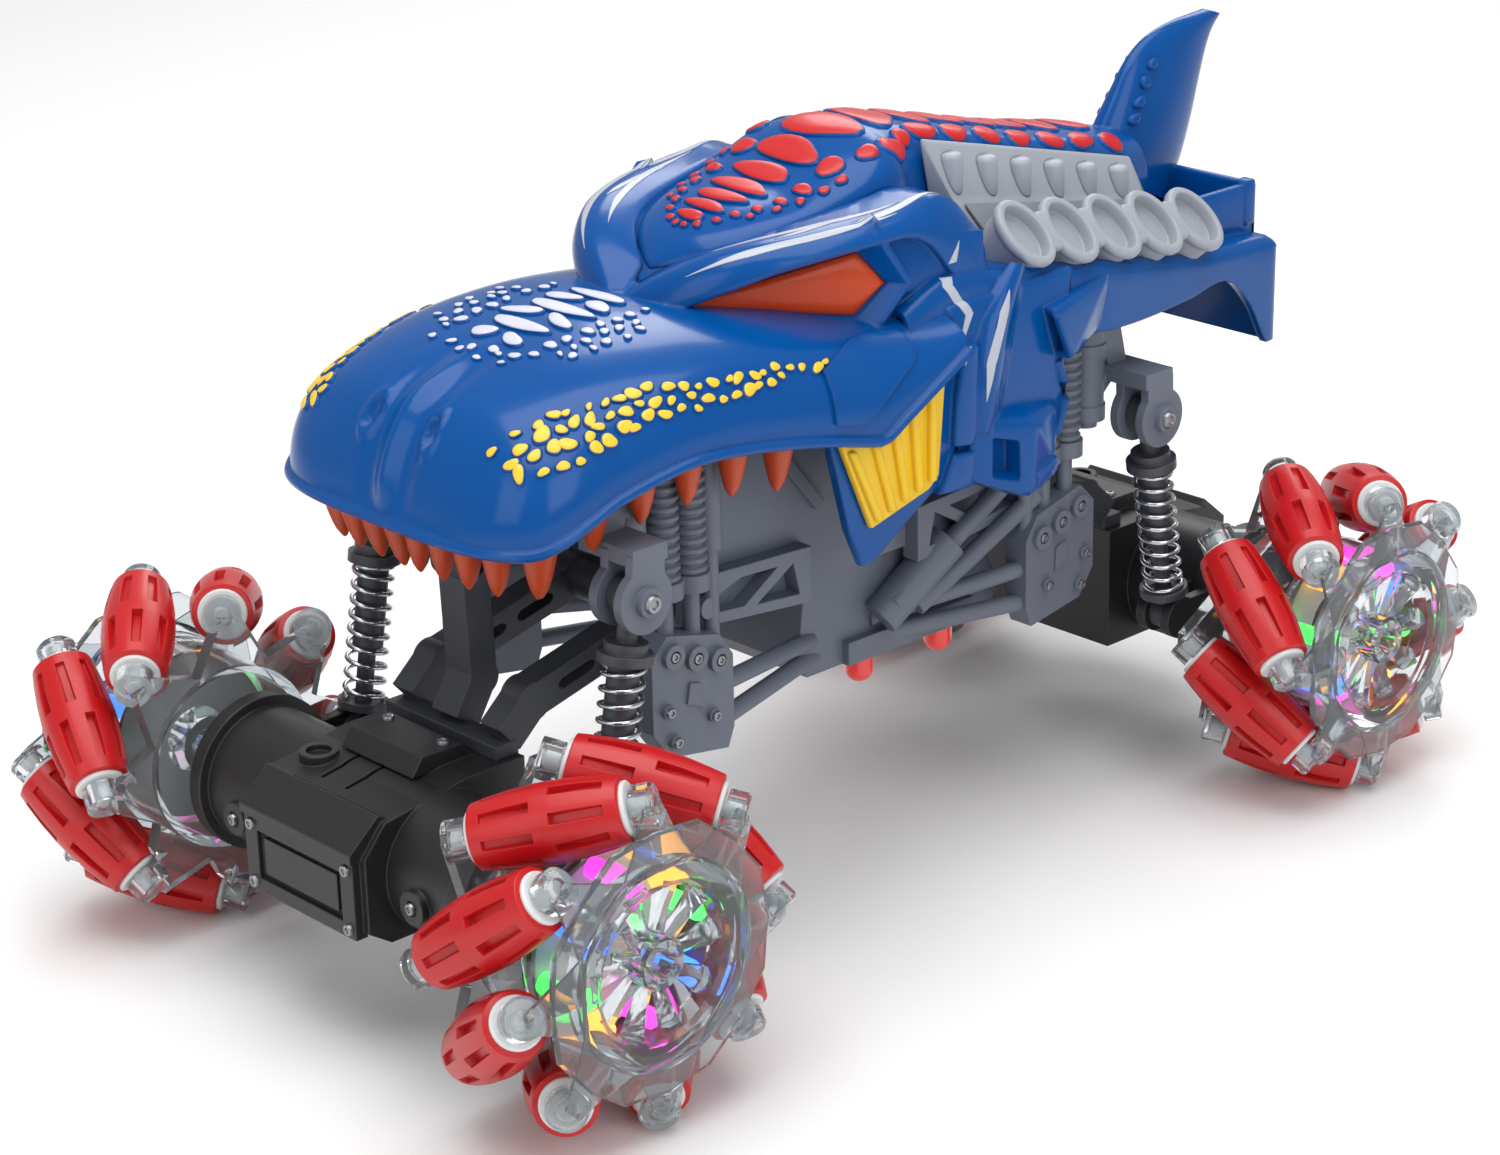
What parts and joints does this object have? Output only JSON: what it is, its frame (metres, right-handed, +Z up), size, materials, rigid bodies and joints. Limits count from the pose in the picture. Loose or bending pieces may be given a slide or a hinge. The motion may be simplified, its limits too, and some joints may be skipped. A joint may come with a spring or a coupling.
{
  "type": "remote control stunt car",
  "caption": "Beast-headed remote control stunt car: moulded shell over a sprung chassis, trailing-arm axles and wheels of tilted free rollers that let it drive sideways.",
  "frame": {"origin": "on the floor under the middle of the car", "axes": "+X towards the nose, +Y towards the car's left, +Z up"},
  "size_m": [0.3314, 0.1926, 0.185],
  "materials": {
    "shell_blue": "glossy moulded plastic",
    "tooth_orange": "satin moulded plastic",
    "eye_orange": "glossy panel",
    "grille_yellow": "glossy moulded plastic",
    "exhaust_grey": "satin grey plastic",
    "chassis_grey": "matte moulded plastic",
    "gearbox_black": "matte moulded plastic",
    "arm_grey": "matte moulded plastic",
    "shock_grey": "matte moulded plastic",
    "spring_chrome": "bright steel wire",
    "battery_green": "shrink wrap",
    "door_grey": "matte moulded plastic",
    "switch_black": "matte moulded plastic",
    "lamp_red": "tinted lens",
    "hub_clear": "clear moulded plastic",
    "roller_red": "satin moulded plastic"
  },
  "bodies": {
    "car": {"body_shell": "shell_blue", "upper_teeth": "tooth_orange", "eye_panels": "eye_orange", "cheek_grilles": "grille_yellow", "exhaust_banks": "exhaust_grey", "chassis_frame": "chassis_grey", "battery_pack": "battery_green", "battery_door": "door_grey", "underglow_lamps": "lamp_red"},
    "front_axle": {"front_gearbox": "gearbox_black", "front_arms": "arm_grey"},
    "rear_axle": {"rear_gearbox": "gearbox_black", "rear_arms": "arm_grey"},
    "front_tubes": {"front_shock_tubes": "shock_grey", "front_springs": "spring_chrome"},
    "front_rods": {"front_shock_rods": "shock_grey"},
    "rear_tubes": {"rear_shock_tubes": "shock_grey", "rear_springs": "spring_chrome"},
    "rear_rods": {"rear_shock_rods": "shock_grey"},
    "switch_knob": {"power_switch": "switch_black"},
    "wheel_front_left": {"hub_outer_front_left": "hub_clear", "hub_inner_front_left": "hub_clear"},
    "roller_body_front_left_1": {"roller_front_left_1": "roller_red"},
    "roller_body_front_left_2": {"roller_front_left_2": "roller_red"},
    "roller_body_front_left_3": {"roller_front_left_3": "roller_red"},
    "roller_body_front_left_4": {"roller_front_left_4": "roller_red"},
    "roller_body_front_left_5": {"roller_front_left_5": "roller_red"},
    "roller_body_front_left_6": {"roller_front_left_6": "roller_red"},
    "roller_body_front_left_7": {"roller_front_left_7": "roller_red"},
    "roller_body_front_left_8": {"roller_front_left_8": "roller_red"},
    "wheel_front_right": {"hub_outer_front_right": "hub_clear", "hub_inner_front_right": "hub_clear"},
    "roller_body_front_right_1": {"roller_front_right_1": "roller_red"},
    "roller_body_front_right_2": {"roller_front_right_2": "roller_red"},
    "roller_body_front_right_3": {"roller_front_right_3": "roller_red"},
    "roller_body_front_right_4": {"roller_front_right_4": "roller_red"},
    "roller_body_front_right_5": {"roller_front_right_5": "roller_red"},
    "roller_body_front_right_6": {"roller_front_right_6": "roller_red"},
    "roller_body_front_right_7": {"roller_front_right_7": "roller_red"},
    "roller_body_front_right_8": {"roller_front_right_8": "roller_red"},
    "wheel_rear_left": {"hub_outer_rear_left": "hub_clear", "hub_inner_rear_left": "hub_clear"},
    "roller_body_rear_left_1": {"roller_rear_left_1": "roller_red"},
    "roller_body_rear_left_2": {"roller_rear_left_2": "roller_red"},
    "roller_body_rear_left_3": {"roller_rear_left_3": "roller_red"},
    "roller_body_rear_left_4": {"roller_rear_left_4": "roller_red"},
    "roller_body_rear_left_5": {"roller_rear_left_5": "roller_red"},
    "roller_body_rear_left_6": {"roller_rear_left_6": "roller_red"},
    "roller_body_rear_left_7": {"roller_rear_left_7": "roller_red"},
    "roller_body_rear_left_8": {"roller_rear_left_8": "roller_red"},
    "wheel_rear_right": {"hub_outer_rear_right": "hub_clear", "hub_inner_rear_right": "hub_clear"},
    "roller_body_rear_right_1": {"roller_rear_right_1": "roller_red"},
    "roller_body_rear_right_2": {"roller_rear_right_2": "roller_red"},
    "roller_body_rear_right_3": {"roller_rear_right_3": "roller_red"},
    "roller_body_rear_right_4": {"roller_rear_right_4": "roller_red"},
    "roller_body_rear_right_5": {"roller_rear_right_5": "roller_red"},
    "roller_body_rear_right_6": {"roller_rear_right_6": "roller_red"},
    "roller_body_rear_right_7": {"roller_rear_right_7": "roller_red"},
    "roller_body_rear_right_8": {"roller_rear_right_8": "roller_red"}
  },
  "joints": [
    {"name": "front_bump", "type": "hinge", "parent": "car", "child": "front_axle", "pos_m": [0.052, 0, 0.08005], "axis": [0, -1, 0], "range_deg": [0, 6], "stiffness_Nm_per_rad": 6, "springref_deg": -5.73},
    {"name": "front_shock_swing", "type": "hinge", "parent": "car", "child": "front_tubes", "pos_m": [0.0865, 0, 0.10055], "axis": [0, -1, 0], "range_deg": [0, 4.6]},
    {"name": "front_shock_slide", "type": "slide", "parent": "front_tubes", "child": "front_rods", "axis": [-0.1658, 0, 0.9862], "range_m": [0, 0.004], "deforming": ["front_springs"]},
    {"name": "rear_bump", "type": "hinge", "parent": "car", "child": "rear_axle", "pos_m": [-0.052, 0, 0.08005], "axis": [0, 1, 0], "range_deg": [0, 6], "stiffness_Nm_per_rad": 6, "springref_deg": -5.73},
    {"name": "rear_shock_swing", "type": "hinge", "parent": "car", "child": "rear_tubes", "pos_m": [-0.0865, 0, 0.10055], "axis": [0, 1, 0], "range_deg": [0, 4.6]},
    {"name": "rear_shock_slide", "type": "slide", "parent": "rear_tubes", "child": "rear_rods", "axis": [0.1658, 0, 0.9862], "range_m": [0, 0.004], "deforming": ["rear_springs"]},
    {"name": "wheel_front_left_spin", "type": "hinge", "parent": "front_axle", "child": "wheel_front_left", "pos_m": [0.124, 0.0755, 0.04185], "axis": [0, 1, 0], "continuous": true},
    {"name": "roller_front_left_1_spin", "type": "hinge", "parent": "wheel_front_left", "child": "roller_body_front_left_1", "pos_m": [0.15472, 0.0755, 0.05458], "axis": [-0.246, 0.766, 0.5939], "continuous": true},
    {"name": "roller_front_left_2_spin", "type": "hinge", "parent": "wheel_front_left", "child": "roller_body_front_left_2", "pos_m": [0.13672, 0.0755, 0.07257], "axis": [-0.5939, 0.766, 0.246], "continuous": true},
    {"name": "roller_front_left_3_spin", "type": "hinge", "parent": "wheel_front_left", "child": "roller_body_front_left_3", "pos_m": [0.11128, 0.0755, 0.07257], "axis": [-0.5939, 0.766, -0.246], "continuous": true},
    {"name": "roller_front_left_4_spin", "type": "hinge", "parent": "wheel_front_left", "child": "roller_body_front_left_4", "pos_m": [0.09328, 0.0755, 0.05458], "axis": [-0.246, 0.766, -0.5939], "continuous": true},
    {"name": "roller_front_left_5_spin", "type": "hinge", "parent": "wheel_front_left", "child": "roller_body_front_left_5", "pos_m": [0.09328, 0.0755, 0.02913], "axis": [0.246, 0.766, -0.5939], "continuous": true},
    {"name": "roller_front_left_6_spin", "type": "hinge", "parent": "wheel_front_left", "child": "roller_body_front_left_6", "pos_m": [0.11128, 0.0755, 0.01113], "axis": [0.5939, 0.766, -0.246], "continuous": true},
    {"name": "roller_front_left_7_spin", "type": "hinge", "parent": "wheel_front_left", "child": "roller_body_front_left_7", "pos_m": [0.13672, 0.0755, 0.01113], "axis": [0.5939, 0.766, 0.246], "continuous": true},
    {"name": "roller_front_left_8_spin", "type": "hinge", "parent": "wheel_front_left", "child": "roller_body_front_left_8", "pos_m": [0.15472, 0.0755, 0.02913], "axis": [0.246, 0.766, 0.5939], "continuous": true},
    {"name": "wheel_front_right_spin", "type": "hinge", "parent": "front_axle", "child": "wheel_front_right", "pos_m": [0.124, -0.0755, 0.04185], "axis": [0, 1, 0], "continuous": true},
    {"name": "roller_front_right_1_spin", "type": "hinge", "parent": "wheel_front_right", "child": "roller_body_front_right_1", "pos_m": [0.15472, -0.0755, 0.05458], "axis": [-0.246, -0.766, 0.5939], "continuous": true},
    {"name": "roller_front_right_2_spin", "type": "hinge", "parent": "wheel_front_right", "child": "roller_body_front_right_2", "pos_m": [0.13672, -0.0755, 0.07257], "axis": [-0.5939, -0.766, 0.246], "continuous": true},
    {"name": "roller_front_right_3_spin", "type": "hinge", "parent": "wheel_front_right", "child": "roller_body_front_right_3", "pos_m": [0.11128, -0.0755, 0.07257], "axis": [-0.5939, -0.766, -0.246], "continuous": true},
    {"name": "roller_front_right_4_spin", "type": "hinge", "parent": "wheel_front_right", "child": "roller_body_front_right_4", "pos_m": [0.09328, -0.0755, 0.05458], "axis": [-0.246, -0.766, -0.5939], "continuous": true},
    {"name": "roller_front_right_5_spin", "type": "hinge", "parent": "wheel_front_right", "child": "roller_body_front_right_5", "pos_m": [0.09328, -0.0755, 0.02913], "axis": [0.246, -0.766, -0.5939], "continuous": true},
    {"name": "roller_front_right_6_spin", "type": "hinge", "parent": "wheel_front_right", "child": "roller_body_front_right_6", "pos_m": [0.11128, -0.0755, 0.01113], "axis": [0.5939, -0.766, -0.246], "continuous": true},
    {"name": "roller_front_right_7_spin", "type": "hinge", "parent": "wheel_front_right", "child": "roller_body_front_right_7", "pos_m": [0.13672, -0.0755, 0.01113], "axis": [0.5939, -0.766, 0.246], "continuous": true},
    {"name": "roller_front_right_8_spin", "type": "hinge", "parent": "wheel_front_right", "child": "roller_body_front_right_8", "pos_m": [0.15472, -0.0755, 0.02913], "axis": [0.246, -0.766, 0.5939], "continuous": true},
    {"name": "wheel_rear_left_spin", "type": "hinge", "parent": "rear_axle", "child": "wheel_rear_left", "pos_m": [-0.124, 0.0755, 0.04185], "axis": [0, 1, 0], "continuous": true},
    {"name": "roller_rear_left_1_spin", "type": "hinge", "parent": "wheel_rear_left", "child": "roller_body_rear_left_1", "pos_m": [-0.15472, 0.0755, 0.05458], "axis": [0.246, 0.766, 0.5939], "continuous": true},
    {"name": "roller_rear_left_2_spin", "type": "hinge", "parent": "wheel_rear_left", "child": "roller_body_rear_left_2", "pos_m": [-0.13672, 0.0755, 0.07257], "axis": [0.5939, 0.766, 0.246], "continuous": true},
    {"name": "roller_rear_left_3_spin", "type": "hinge", "parent": "wheel_rear_left", "child": "roller_body_rear_left_3", "pos_m": [-0.11128, 0.0755, 0.07257], "axis": [0.5939, 0.766, -0.246], "continuous": true},
    {"name": "roller_rear_left_4_spin", "type": "hinge", "parent": "wheel_rear_left", "child": "roller_body_rear_left_4", "pos_m": [-0.09328, 0.0755, 0.05458], "axis": [0.246, 0.766, -0.5939], "continuous": true},
    {"name": "roller_rear_left_5_spin", "type": "hinge", "parent": "wheel_rear_left", "child": "roller_body_rear_left_5", "pos_m": [-0.09328, 0.0755, 0.02913], "axis": [-0.246, 0.766, -0.5939], "continuous": true},
    {"name": "roller_rear_left_6_spin", "type": "hinge", "parent": "wheel_rear_left", "child": "roller_body_rear_left_6", "pos_m": [-0.11128, 0.0755, 0.01113], "axis": [-0.5939, 0.766, -0.246], "continuous": true},
    {"name": "roller_rear_left_7_spin", "type": "hinge", "parent": "wheel_rear_left", "child": "roller_body_rear_left_7", "pos_m": [-0.13672, 0.0755, 0.01113], "axis": [-0.5939, 0.766, 0.246], "continuous": true},
    {"name": "roller_rear_left_8_spin", "type": "hinge", "parent": "wheel_rear_left", "child": "roller_body_rear_left_8", "pos_m": [-0.15472, 0.0755, 0.02913], "axis": [-0.246, 0.766, 0.5939], "continuous": true},
    {"name": "wheel_rear_right_spin", "type": "hinge", "parent": "rear_axle", "child": "wheel_rear_right", "pos_m": [-0.124, -0.0755, 0.04185], "axis": [0, 1, 0], "continuous": true},
    {"name": "roller_rear_right_1_spin", "type": "hinge", "parent": "wheel_rear_right", "child": "roller_body_rear_right_1", "pos_m": [-0.15472, -0.0755, 0.05458], "axis": [0.246, -0.766, 0.5939], "continuous": true},
    {"name": "roller_rear_right_2_spin", "type": "hinge", "parent": "wheel_rear_right", "child": "roller_body_rear_right_2", "pos_m": [-0.13672, -0.0755, 0.07257], "axis": [0.5939, -0.766, 0.246], "continuous": true},
    {"name": "roller_rear_right_3_spin", "type": "hinge", "parent": "wheel_rear_right", "child": "roller_body_rear_right_3", "pos_m": [-0.11128, -0.0755, 0.07257], "axis": [0.5939, -0.766, -0.246], "continuous": true},
    {"name": "roller_rear_right_4_spin", "type": "hinge", "parent": "wheel_rear_right", "child": "roller_body_rear_right_4", "pos_m": [-0.09328, -0.0755, 0.05458], "axis": [0.246, -0.766, -0.5939], "continuous": true},
    {"name": "roller_rear_right_5_spin", "type": "hinge", "parent": "wheel_rear_right", "child": "roller_body_rear_right_5", "pos_m": [-0.09328, -0.0755, 0.02913], "axis": [-0.246, -0.766, -0.5939], "continuous": true},
    {"name": "roller_rear_right_6_spin", "type": "hinge", "parent": "wheel_rear_right", "child": "roller_body_rear_right_6", "pos_m": [-0.11128, -0.0755, 0.01113], "axis": [-0.5939, -0.766, -0.246], "continuous": true},
    {"name": "roller_rear_right_7_spin", "type": "hinge", "parent": "wheel_rear_right", "child": "roller_body_rear_right_7", "pos_m": [-0.13672, -0.0755, 0.01113], "axis": [-0.5939, -0.766, 0.246], "continuous": true},
    {"name": "roller_rear_right_8_spin", "type": "hinge", "parent": "wheel_rear_right", "child": "roller_body_rear_right_8", "pos_m": [-0.15472, -0.0755, 0.02913], "axis": [-0.246, -0.766, 0.5939], "continuous": true},
    {"name": "power_switch_slide", "type": "slide", "parent": "car", "child": "switch_knob", "axis": [0, 1, 0], "range_m": [0, 0.005]}
  ],
  "couplings": [
    {"joint": "front_shock_swing", "follows": "front_bump", "ratio": 0.76532},
    {"joint": "front_shock_slide", "follows": "front_bump", "m_per_rad": 0.03796},
    {"joint": "rear_shock_swing", "follows": "rear_bump", "ratio": 0.76532},
    {"joint": "rear_shock_slide", "follows": "rear_bump", "m_per_rad": 0.03796}
  ]
}
